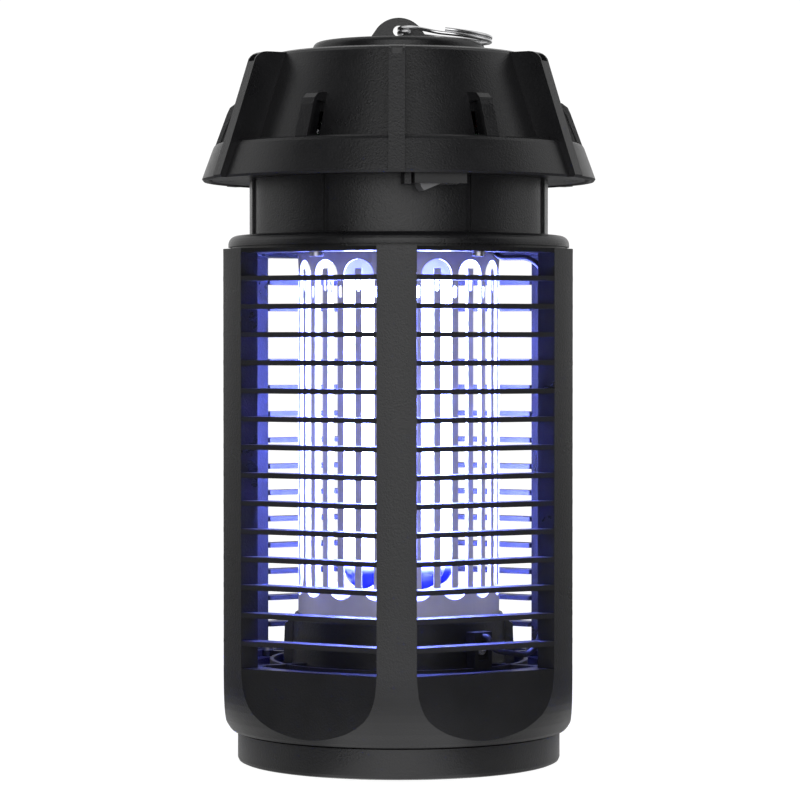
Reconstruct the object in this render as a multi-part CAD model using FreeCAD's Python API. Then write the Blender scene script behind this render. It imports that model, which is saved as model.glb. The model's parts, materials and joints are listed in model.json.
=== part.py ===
import FreeCAD, Part
import os
from math import sin, cos, tan, radians

# Lantern-type electric bug zapper, in millimetres.
# Origin: centre of the underside of the collection tray. +Z is up and the front faces -Y.
# Angles round the lantern are measured from the front, positive towards +X.

V = FreeCAD.Vector
UP = V(0, 0, 1)

# ---- driving dimensions ----
SIDES = 6                  # ribs, facets, fins and vents round the lantern
SIDE_ANGLE = 360 / SIDES
HALF_SIDE = SIDE_ANGLE / 2
WALL = 2.5                 # moulded wall thickness

TRAY_R = 65.2              # visible ring of the collection tray
TRAY_H = 11.9
TRAY_SPIGOT_R = 61.4       # part of the tray that goes up into the cage
TRAY_TOP = 28.2
TRAY_GAP = 0.4             # radial play of the spigot, and height of the seam above the ring
TRAY_RECESS_R = 56.0       # hollow underside, leaving a rim to stand on
SEAL_H = 1.5

BODY_R = 75.7              # outer radius of the cage
FACET_N = 69.1             # distance of the six flats from the axis
RIB_W = 15.4
RIB_IN_R = 68.4
WINDOW_Z0 = 41.1
WINDOW_Z1 = 204.2
CAGE_TOP = 205.9
CAGE_TOP_IN_R = 58.0
CAGE_FOOT = [              # turned-in foot of the cage, (radius, height)
    (TRAY_R, 12.3), (66.5, 12.5), (67.6, 12.9), (68.6, 14.0), (69.8, 16.0), (71.2, 18.2), (72.5, 20.8),
    (73.6, 23.4), (74.4, 26.2), (75.0, 29.6), (75.4, 33.0), (75.6, 37.0), (BODY_R, 40.0)]
LEDGE_TOP = 38.6           # ledge inside the cage that carries the lower holder
LEDGE_IN_R = 60.0
CAGE_BORE_R = 66.4

SLATS = 14
SLAT_Z0 = 51.0
SLAT_PITCH = 11.0
SLAT_T = 2.0
SLAT_IN_N = 61.8

COLLAR_R = 68.9
COLLAR_IN_R = 48.0
COLLAR_TOP = 211.8
COLLAR_GROOVE = 1.3

NECK_R = 60.3
NECK_TOP = 234.2
NECK_GROOVE = 1.1
NECK_BOSS_RING = 54.0      # radius of the circle of screw bosses in the neck
NECK_GROOVES = ((26.2, 28.4), (69.5, 76.0))  # shallow upright grooves, as angles, mirrored about both axes

BRIM_Z0 = 233.7
BRIM_R0 = 79.8
BRIM_Z1 = 248.5
BRIM_R1 = 74.5
CONE_R0 = 65.2
CONE_R1 = 53.1
ROOF_TOP = 283.7
ROOF_CROWN = 285.2
FIN_W = 6.3
FIN_PROUD = 2.2
FIN_POCKET_W = 4.6         # shallow pocket in the head of each fin
FIN_POCKET_Z = (279.8, 282.7)
FIN_POCKET_R = 63.6
VENT_W = 5.4
VENT_SKIN = 1.7
VENT_WEB = 1.0             # upright web in the middle of each hood
VENT_LOW = BRIM_Z1 + 0.6
VENT_TOP = 262.5
HOOD_R = 74.0              # foot of the hood over each vent
HOOD_TOP = 266.0

PLATE_R = 75.4             # base plate that closes the roof from below
PLATE_T = 2.5
PLATE_TOP = NECK_TOP + PLATE_T

SCREW_SHANK_R = 1.5        # housing screws
SCREW_HEAD_R = 2.7
SCREW_HEAD_H = 1.8
SINK_R = 2.9               # counterbore for a housing screw
PILOT_R = 1.25             # hole for the small holder screws
CAGE_SCREW_R = 63.0        # radii of the circles of screws
ROOF_SCREW_R = 69.5
CAP_SCREW_R = 24.0
UPPER_SCREW_R = 45.2
HOLDER_SCREW_R = 63.0
ROOF_SCREW_SEAT = NECK_TOP + 1.7
COLLAR_SCREW_SEAT = CAGE_TOP + 2.2

CAP_R = 34.7
CAP_TOP = 289.8
LUG_T = 3.0
LUG_HOLE_Z = 294.7
LUG_HOLE_R = 2.3
LUG_ARC_R = 11.3
LUG_HALF = 14.0
TOTAL_H = 300.0

RING_MID_R = 18.65         # split ring, to the middle of its wire
RING_WIRE_R = 0.85
RING_COIL_GAP = 1.6        # distance between its two coils
RING_DROOP = 5.5           # degrees below level at rest, lying on the cap

COMB_R = 40.3              # electrode sheet, to the middle of its thickness
COMB_T = 0.8
TEETH = 16
TOOTH_W = 2.9
TOP_COMB_Z1 = 209.0
TOP_SLOT_Z = 201.8
TOP_TIP_Z = 71.3
LOW_COMB_Z0 = 57.0
LOW_SLOT_Z = 67.3
LOW_TIP_Z = 198.2
TOOTH_HOLE_W = 1.5

HOLDER_TOP = 61.2
HOLDER_FOOT = 38.7
GRATE_R = 51.5             # ring of the grating that insects fall through
GRATE_TOP = HOLDER_FOOT + 2.4
TERMINAL_ANGLE = 40.0
TERMINAL_R = 52.4

LEG_R = 4.9                # lamp tube
LEG_RING_R = 18.0          # circle through the lamp's tubes
LAMP_LOW_Z = 69.8
LAMP_CAP_Z0 = 196.0
LAMP_CAP_R = 23.0
SCREW_SHELL_R = 13.1
LAMP_LEGS = 8
SOCKET_R = 19.5
SOCKET_TOP = 246.0
SOCKET_SCREW_X = 27.5

BOARD_Z = 250.0
BOARD_X = 84.0
BOARD_Y = 56.0
BOARD_T = 1.6
STANDOFF_X = 32.0
STANDOFF_Y = 23.0

SWITCH_ANGLE = 13.0
SWITCH_MID_R = 68.3
BEZEL_L = 20.5
BEZEL_D = 13.6
BEZEL_Z0 = 229.8
SWITCH_TOP = 241.5
ROCKER_PIVOT_Z = 232.4
ROCKER_END_R = 8.2
ROCKER_W = 9.6
ROCKER_TILT = 11.0
SWITCH_BODY_L = 18.4       # part of the switch above the bezel
SWITCH_BODY_D = 11.6
TAB_X = 5.0

WIRE_R = 1.1
SWITCH_WIRE_R = 0.95
FEEDTHROUGH_R = 44.0
FEEDTHROUGH_ANGLES = (90.0, 60.0)
BUSH_R = 2.95
RIB_LEAD_R = 66.4          # where the lower lead runs down behind a rib

GLAND_R = 68.0
GLAND_BORE_R = 3.2
GLAND_THREAD_R = 5.0


# ---- helpers ----
def polar(radius, angle, z):
    a = radians(angle)
    return V(radius * sin(a), -radius * cos(a), z)


def spun(shape, angle):
    copy = shape.copy()
    copy.rotate(V(0, 0, 0), UP, angle)
    return copy


def around(shape, count, first=0.0):
    return [spun(shape, first + 360.0 * k / count) for k in range(count)]


def fused(shapes):
    shapes = list(shapes)
    if len(shapes) == 1:
        return shapes[0]
    return shapes[0].fuse(shapes[1:]).removeSplitter()


def rod(start, end, radius):
    way = end - start
    return Part.makeCylinder(radius, way.Length, start, way)


def tube(r_out, r_in, z0, z1):
    outer = Part.makeCylinder(r_out, z1 - z0, V(0, 0, z0))
    return outer.cut(Part.makeCylinder(r_in, z1 - z0 + 2, V(0, 0, z0 - 1)))


def turned(points):
    """Solid of revolution about Z from its (radius, height) outline."""
    outline = Part.makePolygon([V(r, 0, z) for r, z in points + points[:1]])
    return Part.Face(outline).revolve(V(0, 0, 0), UP, 360)


def radial_plate(points, width):
    """Plate standing on the front radius, from its (radius, height) outline."""
    outline = Part.makePolygon([V(-width / 2, -r, z) for r, z in points + points[:1]])
    return Part.Face(outline).extrude(V(width, 0, 0))


def front_block(width, r0, r1, z0, z1, x_mid=0.0):
    return Part.makeBox(width, r1 - r0, z1 - z0, V(x_mid - width / 2, -r1, z0))


def sector(r_out, r_in, z0, z1, angle0, angle1):
    block = Part.makeCylinder(r_out, z1 - z0, V(0, 0, z0), UP, angle1 - angle0)
    block = block.cut(Part.makeCylinder(r_in, z1 - z0 + 2, V(0, 0, z0 - 1)))
    return spun(block, angle0 - 90)


def screw(seat, way, head_r, head_h, shank_r, length):
    """Pan-head screw: its head stands on the seat and its shank goes along way."""
    way = V(way).normalize()
    head = rod(seat - way * head_h, seat, head_r)
    socket = rod(seat - way * (head_h + 1), seat - way * (head_h * 0.45), head_r * 0.42)
    return head.cut(socket).fuse(rod(seat, seat + way * length, shank_r)).removeSplitter()


def lead(points, radius):
    """Insulated wire: straight runs joined by tangent arcs."""
    edges = []
    last = points[0]
    for before, corner, after in zip(points, points[1:], points[2:]):
        u = (before - corner).normalize()
        v = (after - corner).normalize()
        reach = 0.45 * min((before - corner).Length, (after - corner).Length)
        start = corner + u * reach
        end = corner + v * reach
        half = u.getAngle(v) / 2
        bisector = (u + v).normalize()
        arc_r = reach * tan(half)
        centre = corner + bisector * (reach / cos(half))
        edges.append(Part.LineSegment(last, start).toShape())
        edges.append(Part.Arc(start, centre - bisector * arc_r, end).toShape())
        last = end
    edges.append(Part.LineSegment(last, points[-1]).toShape())
    spine = Part.Wire(edges)
    loop = Part.Wire(Part.makeCircle(radius, points[0], points[1] - points[0]))
    return spine.makePipeShell([loop], True, True)


def facet_half_width(n):
    """Half the width between two ribs' flanks at distance n from the axis."""
    half = radians(HALF_SIDE)
    along = (n - RIB_W / 2 * sin(half)) / cos(half)
    return along * sin(half) - RIB_W / 2 * cos(half)


def brim_r(z):
    return BRIM_R0 + (BRIM_R1 - BRIM_R0) * (z - BRIM_Z0) / (BRIM_Z1 - BRIM_Z0)


def cone_r(z):
    return CONE_R0 + (CONE_R1 - CONE_R0) * (z - BRIM_Z1) / (ROOF_TOP - BRIM_Z1)


# ---- collection tray ----
def collection_tray():
    cup = turned([
        (0, 1.0), (TRAY_RECESS_R, 1.0), (TRAY_RECESS_R, 0), (TRAY_R - 1.6, 0), (TRAY_R - 0.5, 0.5),
        (TRAY_R, 1.6), (TRAY_R, TRAY_H), (TRAY_SPIGOT_R, TRAY_H), (TRAY_SPIGOT_R, TRAY_TOP),
        (TRAY_SPIGOT_R - 2.0, TRAY_TOP), (TRAY_SPIGOT_R - 2.0, 4.5), (TRAY_SPIGOT_R - 3.5, 3.0), (0, 3.0)])
    return cup


def tray_seal():
    return tube(TRAY_SPIGOT_R - 0.2, TRAY_SPIGOT_R - 2.6, TRAY_TOP, TRAY_TOP + SEAL_H)


# ---- cage ----
def cage_shell():
    foot = TRAY_H + TRAY_GAP
    bore = TRAY_SPIGOT_R + TRAY_GAP
    seat = TRAY_TOP + SEAL_H + TRAY_GAP
    return turned([(bore, foot)] + CAGE_FOOT + [
        (BODY_R, CAGE_TOP), (CAGE_BORE_R, CAGE_TOP), (CAGE_BORE_R, LEDGE_TOP), (LEDGE_IN_R, LEDGE_TOP),
        (LEDGE_IN_R, seat), (bore, seat)])


def flat_cutter():
    """Everything outside one of the six flats; where it meets the turned-in foot it leaves a rounded outline."""
    half = facet_half_width(FACET_N)
    return front_block(2 * half, FACET_N, BODY_R + 1, TRAY_H, CAGE_TOP + 1)


def window_cutter():
    """Opening between two ribs, from the ribs' inner corner outwards."""
    n0 = 40.0
    n1 = BODY_R + 5
    outline = [(facet_half_width(n0), n0), (facet_half_width(n1), n1)]
    points = [V(s, -n, WINDOW_Z0) for s, n in outline] + [V(-s, -n, WINDOW_Z0) for s, n in reversed(outline)]
    face = Part.Face(Part.makePolygon(points + points[:1]))
    return face.extrude(V(0, 0, WINDOW_Z1 - WINDOW_Z0))


def cage_body():
    shell = cage_shell()
    shell = shell.cut(around(flat_cutter(), SIDES, HALF_SIDE))
    shell = shell.cut(around(window_cutter(), SIDES, HALF_SIDE))
    shell = shell.fuse(tube(CAGE_BORE_R + 1, CAGE_TOP_IN_R, WINDOW_Z1, CAGE_TOP))
    rib_back = Part.makeCylinder(RIB_IN_R, WINDOW_Z1 - WINDOW_Z0, V(0, 0, WINDOW_Z0))
    shell = shell.cut(rib_back)
    shell = shell.cut(cage_screw_holes())
    shell = shell.cut(holder_screw_holes())
    return shell.removeSplitter()


def louvre_slats():
    """The slats of one side, lowest first."""
    outer = facet_half_width(FACET_N)
    inner = facet_half_width(SLAT_IN_N)
    slats = []
    for k in range(SLATS):
        z = SLAT_Z0 + SLAT_PITCH * k - SLAT_T / 2
        points = [V(-outer, -FACET_N, z), V(outer, -FACET_N, z), V(inner, -SLAT_IN_N, z), V(-inner, -SLAT_IN_N, z)]
        slat = Part.Face(Part.makePolygon(points + points[:1])).extrude(V(0, 0, SLAT_T))
        slats.append(slat)
    return slats


def cage_screw_holes():
    hole = rod(polar(CAGE_SCREW_R, 0, WINDOW_Z1 - 1), polar(CAGE_SCREW_R, 0, CAGE_TOP + 1), SCREW_SHANK_R)
    return around(hole, SIDES, HALF_SIDE)


def cage_screws():
    one = screw(polar(CAGE_SCREW_R, 0, WINDOW_Z1), UP, SCREW_HEAD_R, SCREW_HEAD_H, SCREW_SHANK_R, 6.0)
    return around(one, SIDES, HALF_SIDE)


# ---- collar and neck ----
def collar_ring():
    outline = [
        (COLLAR_IN_R, CAGE_TOP), (COLLAR_R - 1.5, CAGE_TOP), (COLLAR_R - 1.5, CAGE_TOP + COLLAR_GROOVE),
        (COLLAR_R, CAGE_TOP + COLLAR_GROOVE)]
    fillet = 3.6
    for k in range(7):
        a = radians(90.0 * k / 6)
        outline.append((COLLAR_R - fillet + fillet * cos(a), COLLAR_TOP - fillet + fillet * sin(a)))
    outline.append((COLLAR_IN_R, COLLAR_TOP))
    ring = turned(outline)
    hole = rod(polar(CAGE_SCREW_R, 0, CAGE_TOP - 1), polar(CAGE_SCREW_R, 0, WINDOW_Z1 + 6.0), SCREW_SHANK_R)
    ring = ring.cut(around(hole, SIDES, HALF_SIDE))
    bore = rod(polar(NECK_BOSS_RING, 0, CAGE_TOP - 1), polar(NECK_BOSS_RING, 0, COLLAR_TOP + 1), SCREW_SHANK_R)
    sink = rod(polar(NECK_BOSS_RING, 0, CAGE_TOP - 1), polar(NECK_BOSS_RING, 0, COLLAR_SCREW_SEAT), SINK_R)
    ring = ring.cut(around(bore, 4, 45))
    return ring.cut(around(sink, 4, 45))


def collar_screws():
    one = screw(polar(NECK_BOSS_RING, 0, COLLAR_SCREW_SEAT), UP, SCREW_HEAD_R, SCREW_HEAD_H, SCREW_SHANK_R, 11.0)
    return around(one, 4, 45)


def neck_housing():
    outer = Part.makeCylinder(NECK_R, NECK_TOP - COLLAR_TOP, V(0, 0, COLLAR_TOP))
    inner = Part.makeCylinder(NECK_R - WALL, NECK_TOP, V(0, 0, COLLAR_TOP + WALL))
    neck = outer.cut(inner)
    boss = rod(polar(NECK_BOSS_RING, 0, COLLAR_TOP), polar(NECK_BOSS_RING, 0, NECK_TOP), 3.6)
    neck = neck.fuse(around(boss, 4, 45))
    for z0, z1 in ((COLLAR_TOP - 1, 220.0), (225.0, NECK_TOP + 1)):
        pilot = rod(polar(NECK_BOSS_RING, 0, z0), polar(NECK_BOSS_RING, 0, z1), SCREW_SHANK_R)
        neck = neck.cut(around(pilot, 4, 45))
    grooves = []
    for a0, a1 in NECK_GROOVES:
        groove = sector(NECK_R + 1, NECK_R - NECK_GROOVE, COLLAR_TOP - 1, NECK_TOP + 1, a0, a1)
        grooves += [groove, spun(groove, 180)]
        mirror = sector(NECK_R + 1, NECK_R - NECK_GROOVE, COLLAR_TOP - 1, NECK_TOP + 1, -a1, -a0)
        grooves += [mirror, spun(mirror, 180)]
    neck = neck.cut(grooves)
    neck = neck.cut(Part.makeCylinder(LAMP_CAP_R + 1.5, 10, V(0, 0, COLLAR_TOP - 1)))
    for angle in FEEDTHROUGH_ANGLES:
        low = polar(FEEDTHROUGH_R, angle, COLLAR_TOP - 1)
        neck = neck.cut(rod(low, polar(FEEDTHROUGH_R, angle, 216.0), BUSH_R + 0.05))
    for k in range(3):
        hole = rod(polar(UPPER_SCREW_R, 120 * k, COLLAR_TOP - 1), polar(UPPER_SCREW_R, 120 * k, 216.0), 1.25)
        neck = neck.cut(hole)
    for x in (-1, 1):
        hole = rod(V(x * SOCKET_SCREW_X, 0, COLLAR_TOP - 1), V(x * SOCKET_SCREW_X, 0, 216.0), 1.25)
        neck = neck.cut(hole)
    return neck


def neck_screws():
    one = screw(polar(NECK_BOSS_RING, 0, PLATE_TOP), V(0, 0, -1), SCREW_HEAD_R, SCREW_HEAD_H, SCREW_SHANK_R, 11.0)
    return around(one, 4, 45)


# ---- roof ----
def fin_outline():
    """Outline of one fin in (radius, height), its top corner rounded."""
    foot = BRIM_R0 + FIN_PROUD
    corner_r = 6.0
    points = [(CONE_R1 - 6, ROOF_TOP), (CONE_R1 - 6, 262), (CONE_R0 - 3, BRIM_Z1 - 1), (foot - 5, BRIM_Z0)]
    points += [(foot - 0.8, BRIM_Z0), (foot, BRIM_Z0 + 1.0)]
    points += [(77.2, BRIM_Z1), (73.0, 261.0), (68.0, 276.0)]
    lean = 17.0
    for k in range(1, 6):
        a = radians(lean + (90 - lean) * k / 5)
        points.append((61.3 + corner_r * cos(a), ROOF_TOP - corner_r + corner_r * sin(a)))
    return points


def roof_profile():
    w = WALL
    z_in = BRIM_Z1 - w
    return [
        (0, ROOF_CROWN), (40.0, ROOF_CROWN), (CONE_R1 - 2.5, ROOF_TOP + 0.9), (CONE_R1 - 0.6, ROOF_TOP + 0.2),
        (CONE_R1 + 0.2, ROOF_TOP - 0.8), (CONE_R0, BRIM_Z1), (BRIM_R1 - 1.2, BRIM_Z1),
        (BRIM_R1 - 0.1, BRIM_Z1 - 0.6), (BRIM_R1 + 0.5, BRIM_Z1 - 1.7),
        (brim_r(BRIM_Z0 + 2.2), BRIM_Z0 + 2.2), (brim_r(BRIM_Z0 + 0.9), BRIM_Z0 + 0.9),
        (BRIM_R0 - 1.0, BRIM_Z0), (BRIM_R0 - w, BRIM_Z0), (brim_r(z_in) - w, z_in), (cone_r(z_in) - w, z_in),
        (cone_r(ROOF_TOP - w) - w, ROOF_TOP - w), (0, ROOF_TOP - w)]


def vent_hood():
    """Bridge over a slot in the cone: solid across the top, open at both flanks."""
    outline = [(cone_r(HOOD_TOP) - 1, HOOD_TOP), (cone_r(BRIM_Z1) - 1, BRIM_Z1 - 0.5), (HOOD_R, BRIM_Z1 - 0.5)]
    outline += [(HOOD_R, BRIM_Z1), (69.4, 261.0), (68.2, 263.6), (65.8, 265.4), (62.5, HOOD_TOP)]
    inner = [(cone_r(VENT_TOP) - 6, VENT_TOP), (cone_r(BRIM_Z1) - 6, VENT_LOW), (HOOD_R - VENT_SKIN, VENT_LOW)]
    inner += [(69.4 - VENT_SKIN, 260.4), (68.2 - VENT_SKIN, VENT_TOP)]
    hollow = radial_plate(inner, VENT_W + 2).cut(radial_plate(inner, VENT_WEB))
    return radial_plate(outline, VENT_W), hollow


def vent_slot():
    inner_r = cone_r(BRIM_Z1) - 6
    outline = [(inner_r, VENT_TOP), (inner_r, VENT_LOW), (cone_r(VENT_LOW) + 0.8, VENT_LOW)]
    outline += [(cone_r(VENT_TOP) + 0.8, VENT_TOP)]
    return radial_plate(outline, VENT_W)


def roof_shell():
    shell = turned(roof_profile())
    rim_in = BRIM_R0 - WALL - 0.2
    core = turned([(0, BRIM_Z0 - 5), (rim_in, BRIM_Z0 - 5), (rim_in, BRIM_Z0)] + roof_profile()[13:])
    fin = radial_plate(fin_outline(), FIN_W).cut(core)
    fin = fin.cut(front_block(FIN_POCKET_W, FIN_POCKET_R, BRIM_R0, *FIN_POCKET_Z))
    shell = shell.fuse(around(fin, SIDES))
    hood, inner = vent_hood()
    slot = vent_slot()
    boss = rod(polar(ROOF_SCREW_R, 0, PLATE_TOP), polar(ROOF_SCREW_R, 0, BRIM_Z1 - WALL + 0.5), 3.2)
    hole = rod(polar(ROOF_SCREW_R, 0, PLATE_TOP - 1), polar(ROOF_SCREW_R, 0, PLATE_TOP + 7.5), SCREW_SHANK_R)
    shell = shell.fuse(around(boss, SIDES, HALF_SIDE))
    shell = shell.cut(around(hole, SIDES, HALF_SIDE))
    shell = shell.cut(around(slot, SIDES, HALF_SIDE))
    shell = shell.fuse(around(hood.cut(inner).cut(core), SIDES, HALF_SIDE))
    cap_hole = rod(polar(CAP_SCREW_R, 0, ROOF_TOP - 5), polar(CAP_SCREW_R, 0, ROOF_CROWN + 1), SCREW_SHANK_R)
    return shell.cut(around(cap_hole, 3))


def roof_base_plate():
    plate = tube(PLATE_R, SOCKET_R + 1.0, NECK_TOP, PLATE_TOP)
    block = front_block(2.6, 66.0, 72.0, BEZEL_Z0 - 0.2, NECK_TOP + 0.1, -BEZEL_L / 2 - 2.0)
    plate = plate.fuse(spun(block, SWITCH_ANGLE))
    hole = rod(polar(ROOF_SCREW_R, 0, NECK_TOP - 1), polar(ROOF_SCREW_R, 0, PLATE_TOP + 1), SCREW_SHANK_R)
    sink = rod(polar(ROOF_SCREW_R, 0, NECK_TOP - 1), polar(ROOF_SCREW_R, 0, ROOF_SCREW_SEAT), SINK_R)
    plate = plate.cut(around(hole, SIDES, HALF_SIDE) + around(sink, SIDES, HALF_SIDE))
    hole = rod(polar(NECK_BOSS_RING, 0, NECK_TOP - 1), polar(NECK_BOSS_RING, 0, PLATE_TOP + 1), SCREW_SHANK_R)
    plate = plate.cut(around(hole, 4, 45))
    inner_r = SWITCH_MID_R - SWITCH_BODY_D / 2
    opening = front_block(SWITCH_BODY_L, inner_r, inner_r + SWITCH_BODY_D, NECK_TOP - 1, PLATE_TOP + 1)
    plate = plate.cut(spun(opening, SWITCH_ANGLE))
    plate = plate.cut(rod(polar(GLAND_R, 180, NECK_TOP - 1), polar(GLAND_R, 180, PLATE_TOP + 1), GLAND_THREAD_R))
    for angle in FEEDTHROUGH_ANGLES:
        low = polar(FEEDTHROUGH_R, angle, NECK_TOP - 1)
        plate = plate.cut(rod(low, polar(FEEDTHROUGH_R, angle, PLATE_TOP + 1), WIRE_R + 0.6))
    return plate.removeSplitter()


def roof_screws():
    one = screw(polar(ROOF_SCREW_R, 0, ROOF_SCREW_SEAT), UP, SCREW_HEAD_R, 1.6, SCREW_SHANK_R, 7.5)
    return around(one, SIDES, HALF_SIDE)


# ---- hanging parts ----


def lug():
    """Plate lug in the X-Z plane: round top, straight flanks down to the cap."""
    centre = V(0, -LUG_T / 2, TOTAL_H - LUG_ARC_R)
    lean = radians(50.0)
    side = V(LUG_ARC_R * sin(lean), 0, LUG_ARC_R * cos(lean))
    foot_z = CAP_TOP - 1.5
    right = centre + side
    left = centre + V(-side.x, 0, side.z)
    right_foot = V(LUG_HALF, centre.y, foot_z)
    left_foot = V(-LUG_HALF, centre.y, foot_z)
    top = Part.Arc(left, centre + V(0, 0, LUG_ARC_R), right).toShape()
    sides = Part.makePolygon([right, right_foot, left_foot, left])
    plate = Part.Face(Part.Wire([top] + sides.Edges)).extrude(V(0, LUG_T, 0))
    hole = Part.makeCylinder(LUG_HOLE_R, LUG_T + 2, V(0, -LUG_T / 2 - 1, LUG_HOLE_Z), V(0, 1, 0))
    return plate.cut(hole)


def hanging_cap():
    outline = [(0, ROOF_CROWN), (CAP_R, ROOF_CROWN)]
    edge_r = 2.4
    for k in range(7):
        a = radians(90.0 * k / 6)
        outline.append((CAP_R - edge_r + edge_r * cos(a), CAP_TOP - edge_r + edge_r * sin(a)))
    outline.append((0, CAP_TOP))
    disc = turned(outline).fuse(lug())
    hole = rod(polar(CAP_SCREW_R, 0, ROOF_CROWN - 1), polar(CAP_SCREW_R, 0, CAP_TOP - 1.6), SCREW_SHANK_R)
    return disc.cut(around(hole, 3))


def cap_screws():
    one = screw(polar(CAP_SCREW_R, 0, ROOF_TOP - WALL), UP, SCREW_HEAD_R, SCREW_HEAD_H, SCREW_SHANK_R, 6.5)
    return around(one, 3)


def hanging_ring():
    """Split ring lying to +X: two coils of wire side by side, drooping onto the cap."""
    coils = []
    for side in (-0.5, 0.5):
        coil = Part.makeTorus(RING_MID_R, RING_WIRE_R, V(RING_MID_R, 0, side * RING_COIL_GAP), UP)
        coils.append(coil)
    ring = coils[0].fuse(coils[1])
    ring.rotate(V(0, 0, 0), V(0, 1, 0), RING_DROOP)
    ring.translate(V(0, 0, LUG_HOLE_Z))
    return ring


# ---- electrodes ----
def comb_band(z0, z1):
    return tube(COMB_R + COMB_T / 2, COMB_R - COMB_T / 2, z0, z1)


def slot_width():
    return 2 * (COMB_R + COMB_T / 2) * sin(radians(180.0 / TEETH)) - TOOTH_W


def comb_slot(z_round, z_open):
    """Gap between two teeth of one comb, with a round end at z_round."""
    r = slot_width() / 2
    up = 1 if z_open > z_round else -1
    z_mid = z_round + up * r
    low = min(z_mid, z_open)
    block = front_block(2 * r, COMB_R - 6, COMB_R + 4, low, low + abs(z_open - z_mid))
    round_end = Part.makeCylinder(r, 10, V(0, -(COMB_R + 4), z_mid), V(0, 1, 0))
    return block.fuse(round_end)


def tooth_hole(z0, z1):
    r = TOOTH_HOLE_W / 2
    block = front_block(2 * r, COMB_R - 6, COMB_R + 4, z0 + r, z1 - r)
    ends = [Part.makeCylinder(r, 10, V(0, -(COMB_R + 4), z), V(0, 1, 0)) for z in (z0 + r, z1 - r)]
    return block.fuse(ends)


def electrode_top_comb():
    comb = comb_band(TOP_TIP_Z, TOP_COMB_Z1)
    step = 360.0 / TEETH
    comb = comb.cut(around(comb_slot(TOP_SLOT_Z, TOP_TIP_Z - 2), TEETH))
    return comb.cut(around(tooth_hole(186.5, 191.2), TEETH, step / 2))


def electrode_bottom_comb():
    comb = comb_band(LOW_COMB_Z0, LOW_TIP_Z)
    step = 360.0 / TEETH
    comb = comb.cut(around(comb_slot(LOW_SLOT_Z, LOW_TIP_Z + 2), TEETH, step / 2))
    return comb.cut(around(tooth_hole(189.2, 194.7), TEETH))


def electrode_upper_holder():
    """Insulating ring under the neck that grips the top comb's edge."""
    gap = 0.05
    ring = turned([
        (38.0, 204.6), (COMB_R - COMB_T / 2 - gap, 204.6), (COMB_R - COMB_T / 2 - gap, TOP_COMB_Z1 + 0.1),
        (COMB_R + COMB_T / 2 + gap, TOP_COMB_Z1 + 0.1), (COMB_R + COMB_T / 2 + gap, 204.6), (43.0, 204.6),
        (43.0, 208.4), (47.2, 208.4), (47.2, COLLAR_TOP), (38.0, COLLAR_TOP)])
    for k in range(3):
        ring = ring.cut(rod(polar(UPPER_SCREW_R, 120 * k, 204), polar(UPPER_SCREW_R, 120 * k, 213), 1.25))
    for angle in FEEDTHROUGH_ANGLES:
        ring = ring.cut(rod(polar(FEEDTHROUGH_R, angle, 204), polar(FEEDTHROUGH_R, angle, 213), BUSH_R + 0.05))
    return ring


def upper_holder_screws():
    one = screw(polar(UPPER_SCREW_R, 0, 208.4), UP, 1.95, 1.5, 1.25, 5.8)
    return around(one, 3)


def electrode_lower_holder():
    """Drum that grips the bottom comb, on a spoked grating that lets insects fall through."""
    gap = 0.05
    groove_out = COMB_R + COMB_T / 2 + gap
    drum = turned([
        (37.0, HOLDER_FOOT), (43.4, HOLDER_FOOT), (43.0, GRATE_TOP), (42.6, 57.5), (42.0, 59.6),
        (groove_out, 59.9),
        (groove_out, LOW_COMB_Z0 - 0.1), (COMB_R - COMB_T / 2 - gap, LOW_COMB_Z0 - 0.1),
        (COMB_R - COMB_T / 2 - gap, HOLDER_TOP), (37.0, HOLDER_TOP)])
    gusset = radial_plate([(42.0, HOLDER_FOOT), (46.8, HOLDER_FOOT), (46.2, 55.0), (42.0, 58.5)], 2.2)
    spoke = front_block(3.0, 42.5, CAGE_BORE_R - 1.6, HOLDER_FOOT, GRATE_TOP)
    pad = rod(polar(HOLDER_SCREW_R + 0.4, 0, HOLDER_FOOT), polar(HOLDER_SCREW_R + 0.4, 0, GRATE_TOP), 2.6)
    parts = around(gusset, 4) + around(spoke, SIDES) + around(pad, SIDES)
    parts.append(tube(CAGE_BORE_R - 0.2, CAGE_BORE_R - 2.0, HOLDER_FOOT, GRATE_TOP))
    parts.append(tube(GRATE_R + 0.8, GRATE_R - 0.8, HOLDER_FOOT, GRATE_TOP))
    holder = drum.fuse(parts)
    low = polar(HOLDER_SCREW_R, 0, HOLDER_FOOT - 1)
    holes = around(rod(low, polar(HOLDER_SCREW_R, 0, GRATE_TOP + 1), PILOT_R), 3)
    return holder.cut(holes).removeSplitter()


def holder_screw_holes():
    return around(rod(polar(HOLDER_SCREW_R, 0, 33.0), polar(HOLDER_SCREW_R, 0, LEDGE_TOP + 1), 1.25), 3)


def holder_screws():
    return around(screw(polar(HOLDER_SCREW_R, 0, GRATE_TOP), V(0, 0, -1), 2.2, 1.5, PILOT_R, 7.5), 3)


def electrode_terminal():
    """Insulated terminal block that stands on the holder's grating beside the drum."""
    block = front_block(9.0, TERMINAL_R - 5.0, TERMINAL_R, GRATE_TOP, GRATE_TOP + 14.0)
    block = block.cut(front_block(5.0, TERMINAL_R - 2.0, TERMINAL_R + 1, GRATE_TOP + 3.0, GRATE_TOP + 10.5))
    block = block.cut(rod(V(0, -TERMINAL_R, GRATE_TOP + 7.0), V(0, -(TERMINAL_R - 4.6), GRATE_TOP + 7.0), WIRE_R))
    return spun(block, TERMINAL_ANGLE)


def terminal_screw():
    seat = V(0, 2.0 - TERMINAL_R, GRATE_TOP + 7.0)
    return [spun(screw(seat, V(0, 1, 0), 2.0, 1.4, WIRE_R, 2.5), TERMINAL_ANGLE)]


# ---- lamp ----


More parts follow.
